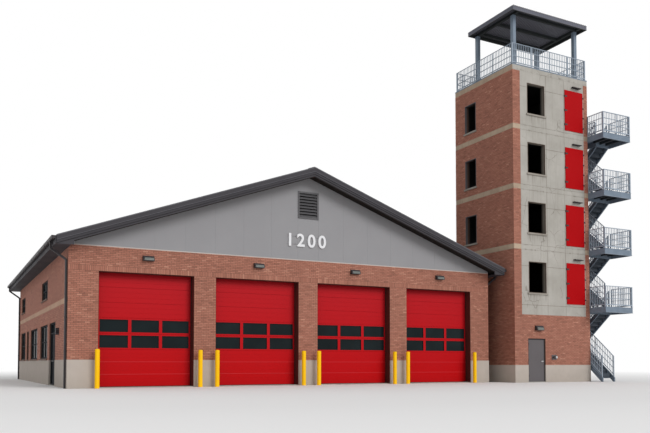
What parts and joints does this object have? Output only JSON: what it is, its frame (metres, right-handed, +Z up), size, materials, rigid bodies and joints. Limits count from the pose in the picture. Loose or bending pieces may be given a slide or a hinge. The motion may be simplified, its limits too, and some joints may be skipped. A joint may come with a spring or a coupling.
{
  "type": "fire station building",
  "caption": "Brick fire station hall with red sectional bay doors and a low gable roof, beside a brick and concrete training tower with shutters, a canopied deck and an outside steel stair.",
  "frame": {"origin": "middle of the hall's footprint at ground level", "axes": "+X along the street front towards the tower, -Y towards the street, +Z up"},
  "size_m": [27.88, 21.22, 18.22],
  "materials": {
    "brick": "rough",
    "pale_block": "rough",
    "concrete": "rough",
    "gable_panel": "matt",
    "roofing": "matt",
    "dark_trim": "satin",
    "red_paint": "satin",
    "glass": "gloss",
    "window_metal": "satin",
    "yellow_paint": "satin",
    "grey_door": "satin",
    "stair_steel": "satin",
    "lamp_metal": "satin"
  },
  "bodies": {
    "building": {"station_floor": "concrete", "front_plinth": "pale_block", "side_plinths": "pale_block", "rear_plinth": "pale_block", "front_wall": "brick", "left_wall": "brick", "left_wall_over_door": "brick", "right_wall": "brick", "rear_wall": "brick", "side_courses": "pale_block", "gable_walls": "gable_panel", "gable_vents": "dark_trim", "roof_left": "roofing", "roof_right": "roofing", "ridge_cap": "roofing", "barge_boards": "dark_trim", "eave_boxes": "dark_trim", "gutters": "dark_trim", "downspouts": "dark_trim", "bay_doors": "red_paint", "bay_door_glass": "glass", "window_frames": "window_metal", "window_glass": "glass", "window_sills": "pale_block", "side_door_frame": "window_metal", "side_door_glass": "glass", "bollards": "yellow_paint", "wall_lamps": "lamp_metal", "tower_floors": "concrete", "tower_front_brick": "brick", "tower_door_lintel": "brick", "tower_front_panel": "concrete", "tower_left_wall": "brick", "tower_right_wall": "brick", "tower_rear_wall": "brick", "tower_sills": "concrete", "tower_shutters": "red_paint", "shutter_hardware": "red_paint", "tower_door_frame": "grey_door", "tower_top_door": "grey_door", "hose_connection": "lamp_metal", "deck_posts": "stair_steel", "deck_railing": "stair_steel", "canopy_posts": "stair_steel", "canopy_beams": "stair_steel", "canopy_roof": "dark_trim", "stair_landings": "stair_steel", "half_landings": "stair_steel", "stair_stringers": "stair_steel", "stair_treads": "stair_steel", "flight_railings": "stair_steel", "landing_railings": "stair_steel", "stair_posts": "stair_steel"},
    "side_door": {"side_door": "window_metal"},
    "tower_door": {"tower_door": "grey_door"}
  },
  "joints": [
    {"name": "side_door_hinge", "type": "hinge", "parent": "building", "child": "side_door", "pos_m": [-9.717, -5.987, 0], "axis": [0, 0, 1], "range_deg": [0, 90]},
    {"name": "tower_door_hinge", "type": "hinge", "parent": "building", "child": "tower_door", "pos_m": [11.433, -10.227, 0], "axis": [0, 0, -1], "range_deg": [0, 90]}
  ]
}
